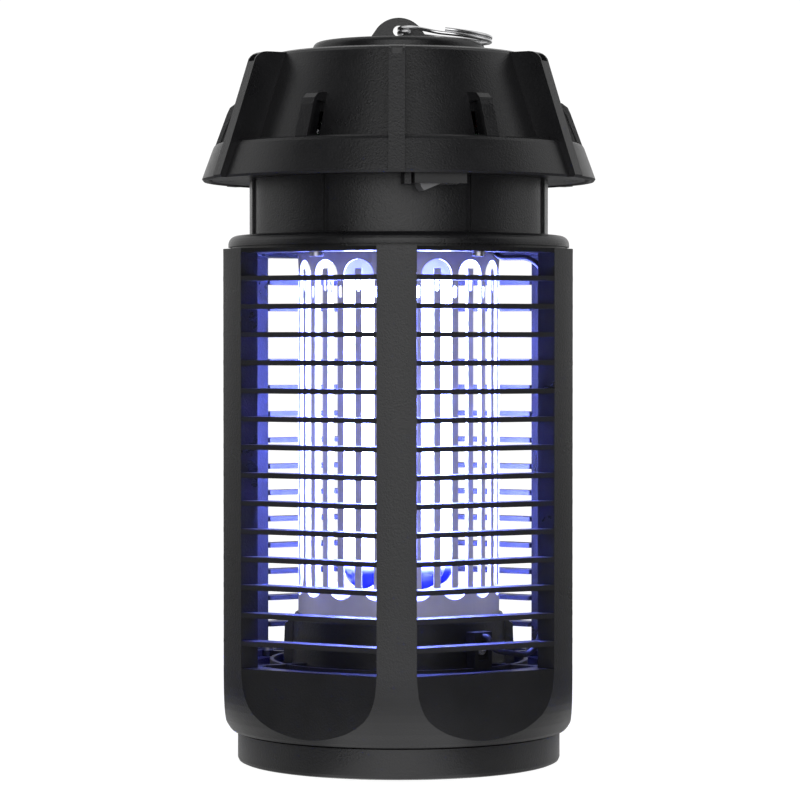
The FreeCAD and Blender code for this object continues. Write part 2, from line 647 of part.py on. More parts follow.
def lamp_u_tube():
    """One U of the lamp, open ends in the cap and bend at the bottom."""
    half = LEG_RING_R * sin(radians(360.0 / LAMP_LEGS / 2))
    depth = LEG_RING_R * cos(radians(360.0 / LAMP_LEGS / 2))
    z_bend = LAMP_LOW_Z + LEG_R + half
    top = LAMP_CAP_Z0 + 3.0
    left = V(-half, -depth, top)
    right = V(half, -depth, top)
    bend = Part.Arc(V(-half, -depth, z_bend), V(0, -depth, z_bend - half), V(half, -depth, z_bend)).toShape()
    spine = Part.Wire([
        Part.LineSegment(left, V(-half, -depth, z_bend)).toShape(), bend,
        Part.LineSegment(V(half, -depth, z_bend), right).toShape()])
    loop = Part.Wire(Part.makeCircle(LEG_R, left, UP))
    return spine.makePipeShell([loop], True, True)


def lamp_tubes():
    return around(lamp_u_tube(), LAMP_LEGS // 2, HALF_SIDE)


def lamp_cap():
    cap = turned([
        (0, LAMP_CAP_Z0), (LAMP_CAP_R, LAMP_CAP_Z0), (LAMP_CAP_R, 206.0), (LAMP_CAP_R - 1, 208.5), (15.0, 213.4),
        (SCREW_SHELL_R - 0.6, 213.8), (0, 213.8)])
    return cap.cut(lamp_tubes())


def lamp_screw_shell():
    outline = [(0, 213.8)]
    z = 213.8
    turns = 6
    pitch = 3.4
    for k in range(turns):
        outline += [(SCREW_SHELL_R - 0.9, z + pitch * k), (SCREW_SHELL_R, z + pitch * (k + 0.5))]
    z_end = z + pitch * turns
    outline += [(SCREW_SHELL_R - 0.9, z_end), (6.0, z_end + 2.4), (4.2, z_end + 2.8), (4.2, z_end + 3.6), (0, z_end + 3.6)]
    return turned(outline)


def lamp_socket():
    """Lampholder: cup over the lamp's screw shell with a flange on the neck's floor."""
    floor = COLLAR_TOP + WALL
    cup = turned([
        (SCREW_SHELL_R + 0.3, floor), (30.5, floor), (30.5, floor + 2.2), (SOCKET_R, floor + 2.2),
        (SOCKET_R, SOCKET_TOP - 2.0), (SOCKET_R - 2.0, SOCKET_TOP), (0, SOCKET_TOP), (0, SOCKET_TOP - 2.5),
        (SCREW_SHELL_R + 0.3, SOCKET_TOP - 2.5)])
    holes = [rod(V(x * SOCKET_SCREW_X, 0, floor - 1), V(x * SOCKET_SCREW_X, 0, floor + 4), 1.25) for x in (-1, 1)]
    return cup.cut(holes)


def socket_screws():
    seat_z = COLLAR_TOP + WALL + 2.2
    screws = []
    for side in (-1, 1):
        screws.append(screw(V(side * SOCKET_SCREW_X, 0, seat_z), V(0, 0, -1), 2.2, 1.5, 1.25, 4.4))
    return screws


# ---- driver ----


def corners(x, y):
    return [(sx * x, sy * y) for sx in (-1, 1) for sy in (-1, 1)]


def driver_board():
    board = Part.makeBox(BOARD_X, BOARD_Y, BOARD_T, V(-BOARD_X / 2, -BOARD_Y / 2, BOARD_Z))
    holes = [Part.makeCylinder(1.5, 4, V(x, y, BOARD_Z - 1)) for x, y in corners(STANDOFF_X, STANDOFF_Y)]
    return board.cut(holes)


def board_standoffs():
    posts = []
    for x, y in corners(STANDOFF_X, STANDOFF_Y):
        post = Part.makeCylinder(3.0, BOARD_Z - PLATE_TOP, V(x, y, PLATE_TOP))
        posts.append(post.cut(Part.makeCylinder(1.5, 8, V(x, y, BOARD_Z - 7))))
    return posts


def board_screws():
    down = V(0, 0, -1)
    spots = corners(STANDOFF_X, STANDOFF_Y)
    return [screw(V(x, y, BOARD_Z + BOARD_T), down, 2.5, 1.7, 1.5, 7.0) for x, y in spots]


def on_board(width, depth, height, x, y):
    return Part.makeBox(width, depth, height, V(x - width / 2, y - depth / 2, BOARD_Z + BOARD_T))


def hv_transformer():
    core = on_board(24, 20, 17, -14, 4)
    windows = Part.makeBox(14, 30, 8.5, V(-14 - 7, 4 - 15, BOARD_Z + BOARD_T + 4.2))
    bobbin = Part.makeCylinder(5.4, 19, V(-14, 4 - 9.5, BOARD_Z + BOARD_T + 8.4), V(0, 1, 0))
    coil = Part.makeBox(12.4, 17, 8.2, V(-14 - 6.2, 4 - 8.5, BOARD_Z + BOARD_T + 4.3))
    return core.cut(windows).fuse([bobbin.common(core), coil]).removeSplitter()


def hv_capacitors():
    floor = BOARD_Z + BOARD_T
    return [Part.makeCylinder(5.0, 16.0, V(8 + 12 * k, 14, floor)) for k in range(3)]


def hv_diodes():
    floor = BOARD_Z + BOARD_T
    diodes = []
    for k in range(6):
        body = Part.makeCylinder(1.5, 5.5, V(6 + 5 * k, -6, floor + 2.6), V(0, 1, 0))
        leg_a = Part.makeCylinder(0.4, 2.6, V(6 + 5 * k, -5.2, floor))
        leg_b = Part.makeCylinder(0.4, 2.6, V(6 + 5 * k, -1.3, floor))
        diodes.append(fused([body, leg_a, leg_b]))
    return diodes


def fuse():
    floor = BOARD_Z + BOARD_T
    start = V(-34, -16, floor + 4.2)
    glass = Part.makeCylinder(2.5, 20, start, V(1, 0, 0))
    clips = [Part.makeBox(4.0, 4.6, 4.2, start + V(x, -2.3, -4.2)) for x in (0.5, 15.5)]
    return glass.fuse(clips)


# ---- switch ----


def switch_body():
    body = front_block(BEZEL_L, SWITCH_MID_R - BEZEL_D / 2, SWITCH_MID_R + BEZEL_D / 2, BEZEL_Z0, NECK_TOP)
    inner_r = SWITCH_MID_R - SWITCH_BODY_D / 2 + 0.1
    outer_r = SWITCH_MID_R + SWITCH_BODY_D / 2 - 0.1
    upper = front_block(SWITCH_BODY_L - 0.2, inner_r, outer_r, NECK_TOP, SWITCH_TOP)
    cavity = front_block(17.0, SWITCH_MID_R - ROCKER_W / 2 - 0.3, SWITCH_MID_R + ROCKER_W / 2 + 0.3,
                         BEZEL_Z0 - 1, SWITCH_TOP - 1.5)
    body = body.fuse(upper).removeSplitter().cut(cavity)
    bore = rod(V(0, -(SWITCH_MID_R - SWITCH_BODY_D / 2 + 0.2), ROCKER_PIVOT_Z),
               V(0, -(SWITCH_MID_R + SWITCH_BODY_D / 2 - 0.2), ROCKER_PIVOT_Z), 1.0)
    return spun(body.cut(bore), SWITCH_ANGLE)


def switch_rocker():
    """Rocker with a shallow V face and round ends about its pin, tipped to its ON side."""
    up_a = radians(-12.0)
    low_a = radians(30.0)
    mid = radians(9.0)
    c = V(0, -(SWITCH_MID_R - ROCKER_W / 2), ROCKER_PIVOT_Z)

    def on_end(a, side):
        return c + V(side * ROCKER_END_R * cos(a), 0, -ROCKER_END_R * sin(a))

    right = Part.Arc(on_end(up_a, 1), on_end(mid, 1), on_end(low_a, 1)).toShape()
    left = Part.Arc(on_end(low_a, -1), on_end(mid, -1), on_end(up_a, -1)).toShape()
    face = Part.makePolygon([on_end(low_a, 1), c + V(0, 0, -2.6), on_end(low_a, -1)])
    back = Part.makePolygon([on_end(up_a, -1), c + V(-3.0, 0, 2.6), c + V(3.0, 0, 2.6), on_end(up_a, 1)])
    wire = Part.Wire([right] + face.Edges + [left] + back.Edges)
    block = Part.Face(wire).extrude(V(0, -ROCKER_W, 0))
    block = block.cut(rod(V(0, -60, ROCKER_PIVOT_Z), V(0, -80, ROCKER_PIVOT_Z), 1.05))
    block.rotate(V(0, 0, ROCKER_PIVOT_Z), V(0, 1, 0), -ROCKER_TILT)
    return spun(block, SWITCH_ANGLE)


def rocker_pin():
    pin = rod(V(0, -(SWITCH_MID_R - SWITCH_BODY_D / 2 + 0.2), ROCKER_PIVOT_Z),
              V(0, -(SWITCH_MID_R + SWITCH_BODY_D / 2 - 0.2), ROCKER_PIVOT_Z), 1.0)
    return [spun(pin, SWITCH_ANGLE)]


def switch_terminals():
    tabs = []
    for x in (-TAB_X, TAB_X):
        tab = front_block(4.4, 66.2, 67.0, SWITCH_TOP, SWITCH_TOP + 3.8, x)
        tabs.append(spun(tab, SWITCH_ANGLE))
    return tabs


# ---- leads, insulators and inlet ----


def hv_feedthroughs():
    """Ceramic bushings where the two high-voltage leads pass the neck's floor."""
    bushings = []
    for angle in FEEDTHROUGH_ANGLES:
        bush = rod(polar(FEEDTHROUGH_R, angle, 209.5), polar(FEEDTHROUGH_R, angle, COLLAR_TOP + WALL), BUSH_R)
        head = rod(polar(FEEDTHROUGH_R, angle, COLLAR_TOP + WALL), polar(FEEDTHROUGH_R, angle, 218.0), 4.2)
        bore = rod(polar(FEEDTHROUGH_R, angle, 205.0), polar(FEEDTHROUGH_R, angle, 220.0), WIRE_R)
        bushings.append(bush.fuse(head).removeSplitter().cut(bore))
    return bushings


def hv_lead_upper():
    a = FEEDTHROUGH_ANGLES[0]
    x = BOARD_X / 2 - 2.5
    return [lead([V(x, 0, BOARD_Z), V(x, 0, BOARD_Z - 5), polar(FEEDTHROUGH_R, a, BOARD_Z - 10),
                  polar(FEEDTHROUGH_R, a, 209.5)], WIRE_R)]


def hv_lead_lower():
    """Lead from the board down behind the right-hand front rib to the lower terminal."""
    a = FEEDTHROUGH_ANGLES[1]
    entry_z = GRATE_TOP + 12.3
    run_z = WINDOW_Z1 - WIRE_R - 0.5
    return [lead([polar(FEEDTHROUGH_R, a, BOARD_Z), polar(FEEDTHROUGH_R, a, run_z + 2.5),
                  polar(FEEDTHROUGH_R + 3.0, a, run_z), polar(RIB_LEAD_R - 6.5, a, run_z),
                  polar(RIB_LEAD_R, a, run_z - 5.0),
                  polar(RIB_LEAD_R, a, 56.0), polar(RIB_LEAD_R - 4.0, a - 2, 45.0),
                  polar(TERMINAL_R + 6.0, TERMINAL_ANGLE, entry_z - 5),
                  polar(TERMINAL_R + 3.0, TERMINAL_ANGLE, entry_z),
                  polar(TERMINAL_R, TERMINAL_ANGLE, entry_z)], WIRE_R)]


def lamp_leads():
    leads = []
    for side in (-1, 1):
        start = V(side * 8.0, 0, SOCKET_TOP)
        end = V(side * 8.0, 0, BOARD_Z)
        leads.append(rod(start, end, WIRE_R))
    return leads


def switch_leads():
    leads = []
    for x in (-TAB_X, TAB_X):
        spot = spun(Part.Vertex(V(x, -66.2, SWITCH_TOP + 2)), SWITCH_ANGLE).Point
        inward = spun(Part.Vertex(V(x, -52.0, SWITCH_TOP + 2)), SWITCH_ANGLE).Point
        end = V(inward.x * 0.6, 3 - BOARD_Y / 2, BOARD_Z)
        leads.append(lead([spot, inward, end - V(0, 8, 5.5), end - V(0, 0, 3.5), end], SWITCH_WIRE_R))
    return leads


def cable_gland():
    """Mains inlet in the soffit at the back, with a straight bore for the cable."""
    body = rod(polar(GLAND_R, 180, 224.0), polar(GLAND_R, 180, NECK_TOP), 6.6)
    thread = rod(polar(GLAND_R, 180, NECK_TOP), polar(GLAND_R, 180, 242.0), GLAND_THREAD_R)
    bore = rod(polar(GLAND_R, 180, 223.0), polar(GLAND_R, 180, 243.0), GLAND_BORE_R)
    return body.fuse(thread).removeSplitter().cut(bore)


def gland_nut():
    points = [polar(6.5, 60 * k, PLATE_TOP) for k in range(6)]
    nut = Part.Face(Part.makePolygon(points + points[:1])).extrude(V(0, 0, 3.0))
    nut.translate(polar(GLAND_R, 180, 0))
    return [nut.cut(rod(polar(GLAND_R, 180, 230), polar(GLAND_R, 180, 250), GLAND_THREAD_R))]


def write(node, shape):
    solid = Part.makeCompound(shape) if isinstance(shape, list) else shape
    solid.exportStep("parts/" + node + ".step")


PIECES = [
    collection_tray, tray_seal, cage_body, cage_screws, collar_ring, collar_screws, neck_housing, neck_screws,
    roof_shell, roof_base_plate, roof_screws, hanging_cap, cap_screws, hanging_ring, electrode_top_comb,
    electrode_bottom_comb, electrode_upper_holder, upper_holder_screws, electrode_lower_holder, holder_screws,
    electrode_terminal, terminal_screw, lamp_tubes, lamp_cap, lamp_screw_shell, lamp_socket, socket_screws,
    driver_board, board_standoffs, board_screws, hv_transformer, hv_capacitors, hv_diodes, fuse, switch_body,
    switch_rocker, rocker_pin, switch_terminals, hv_feedthroughs, hv_lead_upper, hv_lead_lower, lamp_leads,
    switch_leads, cable_gland, gland_nut]

os.makedirs("parts", exist_ok=True)
for piece in PIECES:
    write(piece.__name__, piece())
one_side = louvre_slats()
for side in range(SIDES):
    write("louvre_slats_%d" % (side + 1), [spun(slat, HALF_SIDE + SIDE_ANGLE * side) for slat in one_side])
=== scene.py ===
import json
import math

import bpy
from mathutils import Matrix, Vector


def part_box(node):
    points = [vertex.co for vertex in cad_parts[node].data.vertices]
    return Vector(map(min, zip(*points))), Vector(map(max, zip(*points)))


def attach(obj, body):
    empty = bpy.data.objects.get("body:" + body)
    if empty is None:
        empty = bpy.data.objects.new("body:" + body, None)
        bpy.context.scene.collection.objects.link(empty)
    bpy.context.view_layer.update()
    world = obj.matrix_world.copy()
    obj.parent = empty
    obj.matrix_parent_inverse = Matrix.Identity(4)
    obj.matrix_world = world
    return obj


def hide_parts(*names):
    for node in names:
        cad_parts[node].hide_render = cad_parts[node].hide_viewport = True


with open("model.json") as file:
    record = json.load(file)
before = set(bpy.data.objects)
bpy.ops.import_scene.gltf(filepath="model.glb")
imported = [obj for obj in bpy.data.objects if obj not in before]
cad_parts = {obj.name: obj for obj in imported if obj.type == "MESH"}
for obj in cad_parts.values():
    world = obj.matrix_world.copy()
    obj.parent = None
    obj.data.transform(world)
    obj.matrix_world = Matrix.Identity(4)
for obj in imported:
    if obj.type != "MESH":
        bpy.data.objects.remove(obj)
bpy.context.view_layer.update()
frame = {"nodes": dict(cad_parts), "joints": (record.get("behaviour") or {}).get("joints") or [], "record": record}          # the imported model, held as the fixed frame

# Lantern-type electric bug zapper. Metres, +Z up, front facing -Y, as in the frame.

MM = 0.001
NODES = frame["nodes"]
RECORD = frame["record"]
SLOT_OF = {part["node"]: part["material_slot"] for part in RECORD["subparts"]}


# ---------------------------------------------------------------- camera, light and stage
CAMERA_DISTANCE = 1.296
CAMERA_HEIGHT = 0.1699
CAMERA_AZIMUTH = 0.6       # degrees round to the right of the front
AIM = Vector((0.0005, 0.0, 0.1456))
LENS_MM = 144.0
SENSOR_MM = 36.0


def make_camera():
    data = bpy.data.cameras.new("camera")
    data.lens = LENS_MM
    data.sensor_width = SENSOR_MM
    data.clip_start = 0.05
    data.clip_end = 50.0
    cam = bpy.data.objects.new("camera", data)
    a = math.radians(CAMERA_AZIMUTH)
    cam.location = (CAMERA_DISTANCE * math.sin(a), -CAMERA_DISTANCE * math.cos(a), CAMERA_HEIGHT)
    cam.rotation_euler = (AIM - cam.location).to_track_quat("-Z", "Y").to_euler()
    bpy.context.scene.collection.objects.link(cam)
    bpy.context.scene.camera = cam
    return cam


# Grey levels of the studio round the lantern, from behind it (0) to the front (1).
BACKDROP = ((0.0, 0.8), (0.22, 0.5), (0.34, 0.85), (0.48, 0.75), (0.6, 0.2), (0.68, 0.02), (1.0, 0.02))
SOFTBOX = ((0.915, 0.0), (0.975, 1.0))   # by azimuth, 1 being straight in front of the lantern
SOFTBOX_TOP = (0.66, 0.78)               # sine of the elevation where it fades out
SOFTBOX_GLOW = 2.05
SOFTBOX_DIMMED = 0.62                    # share of its glow that is left at SOFTBOX_DIM_AT
SOFTBOX_DIM_AT = 0.6                     # sine of an elevation
WHITE = (1.0, 1.0, 1.0, 1.0)
WALL_SEEN = 1.05                         # glow of the backdrop to the camera
FLOOR_HALF = 6.0
FLOOR_GREY = (0.3, 0.3, 0.3, 1.0)
FLOOR_SEEN = 0.95                        # glow of the paper to the camera
FLOOR_NEAR = (0.09, 0.19)                # metres from the middle over which its glow on the lantern fades
FLOOR_NEAR_GLOW = 0.38
FLOOR_FRONT_GLOW = 0.6
FORWARD = (0, -1, 0)


def set_inputs(node, values):
    for key, value in values.items():
        node.inputs[key].default_value = value


def grey_ramp(tree, value, stops):
    """Grey levels along a direction cosine that runs from -1 to 1."""
    share = tree.nodes.new("ShaderNodeMapRange")
    set_inputs(share, {"From Min": -1.0, "From Max": 1.0})
    tree.links.new(value, share.inputs["Value"])
    ramp = tree.nodes.new("ShaderNodeValToRGB")
    ramp.color_ramp.interpolation = "EASE"
    marks = ramp.color_ramp.elements
    marks[0].position, marks[1].position = stops[0][0], stops[-1][0]
    for where, _ in stops[1:-1]:
        marks.new(where)
    for mark, (_, grey) in zip(marks, stops):
        mark.color = (grey, grey, grey, 1.0)
    tree.links.new(share.outputs["Result"], ramp.inputs["Fac"])
    return ramp.outputs["Color"]


def vector_maths(tree, operation, value, other=None):
    node = tree.nodes.new("ShaderNodeVectorMath")
    node.operation = operation
    tree.links.new(value, node.inputs[0])
    if other is not None:
        node.inputs[1].default_value = other
    return node.outputs["Value" if operation == "DOT_PRODUCT" else "Vector"]


def maths(tree, operation, a, b):
    node = tree.nodes.new("ShaderNodeMath")
    node.operation = operation
    for socket, value in zip(node.inputs, (a, b)):
        if isinstance(value, (int, float)):
            socket.default_value = value
        else:
            tree.links.new(value, socket)
    return node.outputs[0]


def make_world():
    """White studio: a tall softbox in front, dark flanks either side of it, and a bright backdrop.

    The camera itself sees plain white.
    """
    world = bpy.data.worlds.new("studio")
    world.use_nodes = True
    tree = world.node_tree
    nodes = tree.nodes
    direction = nodes.new("ShaderNodeTexCoord").outputs["Generated"]
    backdrop = grey_ramp(tree, vector_maths(tree, "DOT_PRODUCT", direction, FORWARD), BACKDROP)
    level = vector_maths(tree, "NORMALIZE", vector_maths(tree, "MULTIPLY", direction, (1, 1, 0)))
    softbox = grey_ramp(tree, vector_maths(tree, "DOT_PRODUCT", level, FORWARD), SOFTBOX)
    parts = nodes.new("ShaderNodeSeparateXYZ")
    tree.links.new(direction, parts.inputs["Vector"])
    fade = nodes.new("ShaderNodeMapRange")
    fade.interpolation_type = "SMOOTHSTEP"
    set_inputs(fade, {"From Min": SOFTBOX_TOP[0], "From Max": SOFTBOX_TOP[1], "To Min": 1.0, "To Max": 0.0})
    tree.links.new(parts.outputs["Z"], fade.inputs["Value"])
    dimming = nodes.new("ShaderNodeMapRange")
    set_inputs(dimming, {"From Min": 0.0, "From Max": SOFTBOX_DIM_AT})
    set_inputs(dimming, {"To Min": SOFTBOX_GLOW, "To Max": SOFTBOX_DIMMED * SOFTBOX_GLOW})
    tree.links.new(parts.outputs["Z"], dimming.inputs["Value"])
    glow = maths(tree, "MULTIPLY", softbox, fade.outputs["Result"])
    glow = maths(tree, "MULTIPLY", glow, dimming.outputs["Result"])
    lighting = nodes["Background"]
    tree.links.new(maths(tree, "ADD", glow, backdrop), lighting.inputs["Strength"])
    lighting.inputs["Color"].default_value = WHITE
    white = nodes.new("ShaderNodeBackground")
    set_inputs(white, {"Color": WHITE, "Strength": WALL_SEEN})
    choose = nodes.new("ShaderNodeMixShader")
    tree.links.new(nodes.new("ShaderNodeLightPath").outputs["Is Camera Ray"], choose.inputs["Fac"])
    tree.links.new(lighting.outputs["Background"], choose.inputs[1])
    tree.links.new(white.outputs["Background"], choose.inputs[2])
    tree.links.new(choose.outputs["Shader"], nodes["World Output"].inputs["Surface"])
    bpy.context.scene.world = world


def make_floor():
    """White paper that glows evenly to the camera, and on the lantern from in front and from close by."""
    mesh = bpy.data.meshes.new("floor")
    corners = [(x * FLOOR_HALF, y * FLOOR_HALF, 0) for x, y in ((-1, -1), (1, -1), (1, 1), (-1, 1))]
    mesh.from_pydata(corners, [], [(0, 1, 2, 3)])
    floor = bpy.data.objects.new("floor", mesh)
    bpy.context.scene.collection.objects.link(floor)
    mat = new_material("floor_paper")
    shader = mat["shader"]
    set_inputs(shader, {"Base Color": FLOOR_GREY, "Roughness": 0.9, "Specular IOR Level": 0.0,
                        "Emission Color": WHITE})
    tree = mat["tree"]
    spot = add(mat, "ShaderNodeTexCoord").outputs["Object"]
    heading = vector_maths(tree, "NORMALIZE", spot)
    ahead = grey_ramp(tree, vector_maths(tree, "DOT_PRODUCT", heading, FORWARD), SOFTBOX)
    reach = add(mat, "ShaderNodeVectorMath", operation="LENGTH")
    link(mat, spot, reach.inputs[0])
    near = add(mat, "ShaderNodeMapRange", interpolation_type="SMOOTHSTEP")
    set_inputs(near, {"From Min": FLOOR_NEAR[0], "From Max": FLOOR_NEAR[1]})
    set_inputs(near, {"To Min": FLOOR_NEAR_GLOW, "To Max": 0.0})
    link(mat, reach.outputs["Value"], near.inputs["Value"])
    lighting = maths(tree, "ADD", maths(tree, "MULTIPLY", ahead, FLOOR_FRONT_GLOW), near.outputs["Result"])
    choose = add(mat, "ShaderNodeMix", data_type="FLOAT")
    link(mat, add(mat, "ShaderNodeLightPath").outputs["Is Camera Ray"], choose.inputs["Factor"])
    link(mat, lighting, choose.inputs["A"])
    choose.inputs["B"].default_value = FLOOR_SEEN
    link(mat, choose.outputs["Result"], shader.inputs["Emission Strength"])
    mesh.materials.append(mat["material"])


# ---------------------------------------------------------------- materials
def new_material(name):
    """A material with its shader, ready for nodes. Keys: material, tree, shader."""
    material = bpy.data.materials.new(name)
    material.use_nodes = True
    tree = material.node_tree
    return {"material": material, "tree": tree, "shader": tree.nodes["Principled BSDF"]}


def add(mat, kind, **settings):
    node = mat["tree"].nodes.new(kind)
    for key, value in settings.items():
        setattr(node, key, value)
    return node


def link(mat, a, b):
    mat["tree"].links.new(a, b)


def object_coords(mat, stretch=(1, 1, 1)):
    coords = add(mat, "ShaderNodeTexCoord")
    mapping = add(mat, "ShaderNodeMapping")
    mapping.inputs["Scale"].default_value = stretch
    link(mat, coords.outputs["Object"], mapping.inputs["Vector"])
    return mapping.outputs["Vector"]


def noise(mat, vector, scale, detail=2.0, rough=0.5):
    node = add(mat, "ShaderNodeTexNoise")
    set_inputs(node, {"Scale": scale, "Detail": detail, "Roughness": rough})
    link(mat, vector, node.inputs["Vector"])
    return node.outputs["Fac"]


def spread(mat, value, low, high, from_low=0.3, from_high=0.7):
    """Maps a noise value onto a range."""
    node = add(mat, "ShaderNodeMapRange")
    set_inputs(node, {"From Min": from_low, "From Max": from_high, "To Min": low, "To Max": high})
    link(mat, value, node.inputs["Value"])
    return node.outputs["Result"]


def two_tone(mat, value, colour_a, colour_b, from_low=0.3, from_high=0.7):
    """Blends two colours by a noise value."""
    ramp = add(mat, "ShaderNodeValToRGB")
    ends = ((from_low, colour_a), (from_high, colour_b))
    for mark, (where, colour) in zip(ramp.color_ramp.elements, ends):
        mark.position = where
        mark.color = (*colour, 1)
    link(mat, value, ramp.inputs["Fac"])
    return ramp.outputs["Color"]


def bump(mat, height, distance, strength):
    node = add(mat, "ShaderNodeBump")
    set_inputs(node, {"Strength": strength, "Distance": distance})
    link(mat, height, node.inputs["Height"])
    return node.outputs["Normal"]


def scaled(colour, k):
    return tuple(min(1.0, c * k) for c in colour)


def moulded(name, colour, rough, grain=1300.0, depth=0.00017, patchy=0.22, strength=0.85):
    """Moulded plastic: a fine spark-eroded grain, and patches a little duller or greyer than the rest."""
    mat = new_material(name)
    shader = mat["shader"]
    vector = object_coords(mat)
    patches = noise(mat, vector, 38.0, 4.0, 0.6)
    grains = noise(mat, vector, grain, 3.0, 0.6)
    tint = two_tone(mat, patches, scaled(colour, 1 - patchy), scaled(colour, 1 + patchy))
    link(mat, tint, shader.inputs["Base Color"])
    link(mat, spread(mat, patches, rough - 0.04, rough + 0.05), shader.inputs["Roughness"])
    link(mat, bump(mat, grains, depth, strength), shader.inputs["Normal"])
    return mat["material"]


METAL_VARIES = 0.06        # how much lighter or darker a patch of metal is


def metal(name, colour, rough, stretch=(1, 1, 1), scale=900.0, depth=0.000004, bare=1.0):
    """Bare metal with fine marks, drawn out along one direction by the stretch. A dull coat lowers bare."""
    mat = new_material(name)
    shader = mat["shader"]
    shader.inputs["Metallic"].default_value = bare
    vector = object_coords(mat, stretch)
    marks = noise(mat, vector, scale, 3.0, 0.6)
    patches = noise(mat, object_coords(mat), 45.0, 3.0)
    tint = two_tone(mat, patches, scaled(colour, 1 - METAL_VARIES), scaled(colour, 1 + METAL_VARIES))
    link(mat, tint, shader.inputs["Base Color"])
    link(mat, spread(mat, marks, rough * 0.7, rough * 1.4), shader.inputs["Roughness"])
    link(mat, bump(mat, marks, depth, 0.5), shader.inputs["Normal"])
    return mat["material"]


LAMP_STRENGTH = 95.0
LAMP_END_STRENGTH = 0.6
LAMP_DIM = 10 * MM         # length of the dimmer, deep blue lower ends of the tubes
LAMP_END_GLASS = (0.02, 0.03, 0.25)
LAMP_END_GLOW = (0.02, 0.03, 0.9)


def lit_lamp(name):
    """Phosphor-coated glass, lit. The phosphor stops short of the bottom bends, which glow deep blue."""
    mat = new_material(name)
    tree = mat["tree"]
    shader = mat["shader"]
    vector = object_coords(mat)
    cloud = noise(mat, vector, 60.0, 2.0)
    coating = two_tone(mat, cloud, (0.5, 0.53, 1.0), (0.56, 0.6, 1.0))
    shader.inputs["Roughness"].default_value = 0.12
    parts = add(mat, "ShaderNodeSeparateXYZ")
    link(mat, vector, parts.inputs["Vector"])
    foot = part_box("lamp_tubes")[0].z
    lit = add(mat, "ShaderNodeMapRange", interpolation_type="SMOOTHSTEP")
    set_inputs(lit, {"From Min": foot + 0.6 * LAMP_DIM, "From Max": foot + 1.5 * LAMP_DIM})
    link(mat, parts.outputs["Z"], lit.inputs["Value"])
    phosphor = two_tone(mat, cloud, (0.19, 0.24, 1.0), (0.22, 0.27, 1.0))
    blends = ((LAMP_END_GLASS, coating, "Base Color"), (LAMP_END_GLOW, phosphor, "Emission Color"))
    for end, coated, socket in blends:
        blend = add(mat, "ShaderNodeMix", data_type="RGBA")
        link(mat, lit.outputs["Result"], blend.inputs["Factor"])
        blend.inputs["A"].default_value = (*end, 1.0)
        link(mat, coated, blend.inputs["B"])
        link(mat, blend.outputs["Result"], shader.inputs[socket])
    strength = maths(tree, "MULTIPLY", lit.outputs["Result"], LAMP_STRENGTH - LAMP_END_STRENGTH)
    link(mat, maths(tree, "ADD", strength, LAMP_END_STRENGTH), shader.inputs["Emission Strength"])
    return mat["material"]


def clear_glass(name):
    mat = new_material(name)
    shader = mat["shader"]
    shader.inputs["Transmission Weight"].default_value = 0.9
    shader.inputs["IOR"].default_value = 1.5
    film = noise(mat, object_coords(mat), 120.0)
    link(mat, spread(mat, film, 0.02, 0.08), shader.inputs["Roughness"])
    link(mat, two_tone(mat, film, (0.9, 0.95, 0.94), (0.97, 0.99, 0.98)), shader.inputs["Base Color"])
    return mat["material"]


def make_materials():
    dark = (0.0125, 0.0125, 0.0138)
    steel = (0.74, 0.75, 0.78)
    return {
        "housing_plastic": moulded("housing_plastic", dark, 0.3),
        "slat_plastic": moulded("slat_plastic", (0.014, 0.014, 0.017), 0.5),
        "holder_plastic": moulded("holder_plastic", (0.013, 0.013, 0.015), 0.45, 1000.0),
        "electrode_steel": metal("electrode_steel", (0.84, 0.82, 0.85), 0.5, (1, 1, 0.1), 700.0, 0.000001,
                                 bare=0.35),
        "ring_chrome": metal("ring_chrome", (0.83, 0.83, 0.84), 0.14, scale=400.0),
        "screw_steel": metal("screw_steel", (0.5, 0.5, 0.52), 0.3),
        "lamp_glass": lit_lamp("lamp_glass"),
        "lamp_cap_plastic": moulded("lamp_cap_plastic", (0.78, 0.78, 0.76), 0.3, 700.0, 0.00001, 0.03),
        "lamp_brass": metal("lamp_brass", (0.78, 0.6, 0.28), 0.28),
        "socket_plastic": moulded("socket_plastic", (0.72, 0.7, 0.64), 0.35, 700.0, 0.00001, 0.04),
        "board_laminate": moulded("board_laminate", (0.03, 0.17, 0.06), 0.4, 500.0, 0.00001, 0.12),
        "standoff_nylon": moulded("standoff_nylon", (0.75, 0.75, 0.7), 0.4, 500.0, 0.00001, 0.04),
        "transformer_ferrite": moulded("transformer_ferrite", (0.05, 0.05, 0.055), 0.55, 600.0, 0.00002),
        "capacitor_film": moulded("capacitor_film", (0.5, 0.08, 0.03), 0.25, 400.0, 0.00001, 0.08),
        "diode_body": moulded("diode_body", (0.02, 0.02, 0.02), 0.35, 600.0, 0.00001),
        "fuse_glass": clear_glass("fuse_glass"),
        "switch_plastic": moulded("switch_plastic", (0.02, 0.02, 0.021), 0.38, 900.0, 0.00002),
        "rocker_plastic": moulded("rocker_plastic", (0.16, 0.16, 0.165), 0.2, 500.0, 0.000004, 0.08),
        "feedthrough_ceramic": moulded("feedthrough_ceramic", (0.8, 0.79, 0.74), 0.2, 300.0, 0.00001, 0.04),
        "hv_insulation": moulded("hv_insulation", (0.02, 0.02, 0.022), 0.5, 600.0, 0.00001, 0.08),
        "lamp_lead_insulation": moulded("lamp_lead_insulation", (0.65, 0.65, 0.62), 0.4, 500.0,
                                        0.00001, 0.04),
        "switch_lead_insulation": moulded("switch_lead_insulation", (0.03, 0.03, 0.25), 0.4, 500.0,
                                          0.00001, 0.06),
        "gland_plastic": moulded("gland_plastic", (0.02, 0.02, 0.021), 0.42, 800.0, 0.00003),
        "seal_rubber": moulded("seal_rubber", (0.015, 0.015, 0.015), 0.7, 800.0, 0.00003),
    }


